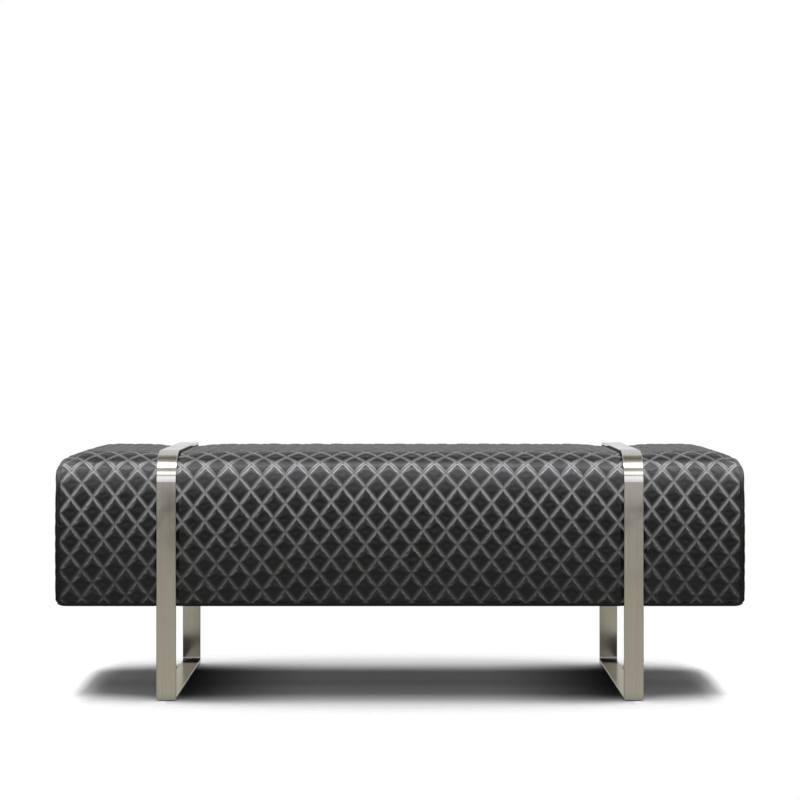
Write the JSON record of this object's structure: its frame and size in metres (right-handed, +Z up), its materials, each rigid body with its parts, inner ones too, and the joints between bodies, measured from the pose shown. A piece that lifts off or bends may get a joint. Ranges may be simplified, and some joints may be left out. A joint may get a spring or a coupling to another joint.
{
  "type": "luggage bench",
  "caption": "Long upholstered bench block in diamond-quilted leather, carried by two closed rectangular loops of flat steel bar that cross the seat and form the legs.",
  "frame": {"origin": "on the floor, under the middle of the bench", "axes": "+X along the bench, towards the right end seen from the front; the front faces -Y; +Z up"},
  "size_m": [1.4, 0.456, 0.507],
  "materials": {
    "quilted_leather": "semi-matt black upholstery leather",
    "border_leather": "semi-matt black upholstery leather",
    "dust_cloth": "black non-woven cloth",
    "foam": "open-cell foam",
    "plywood": "unfinished plywood",
    "softwood": "planed softwood",
    "screw_steel": "yellow zinc",
    "brushed_bar": "satin, brushed along the bar",
    "weld_metal": "dressed weld",
    "glide_plastic": "matt",
    "fixing_steel": "bright zinc"
  },
  "bodies": {
    "root": {"quilted_wrap": "quilted_leather", "left_end_panel": "quilted_leather", "right_end_panel": "quilted_leather", "base_border": "border_leather", "dust_cloth": "dust_cloth", "seat_foam": "foam", "front_foam": "foam", "rear_foam": "foam", "left_end_foam": "foam", "right_end_foam": "foam", "front_rail": "plywood", "rear_rail": "plywood", "left_end_rail": "plywood", "right_end_rail": "plywood", "left_rib": "plywood", "middle_rib": "plywood", "right_rib": "plywood", "deck": "plywood", "corner_blocks": "softwood", "carcass_screws": "screw_steel", "deck_screws": "screw_steel", "left_hoop": "brushed_bar", "left_foot_bar": "brushed_bar", "right_hoop": "brushed_bar", "right_foot_bar": "brushed_bar", "left_weld_beads": "weld_metal", "right_weld_beads": "weld_metal", "left_glides": "glide_plastic", "right_glides": "glide_plastic", "weld_studs": "fixing_steel", "spacer_sleeves": "fixing_steel", "hex_nuts": "fixing_steel", "backing_plates": "fixing_steel"}
  },
  "joints": []
}
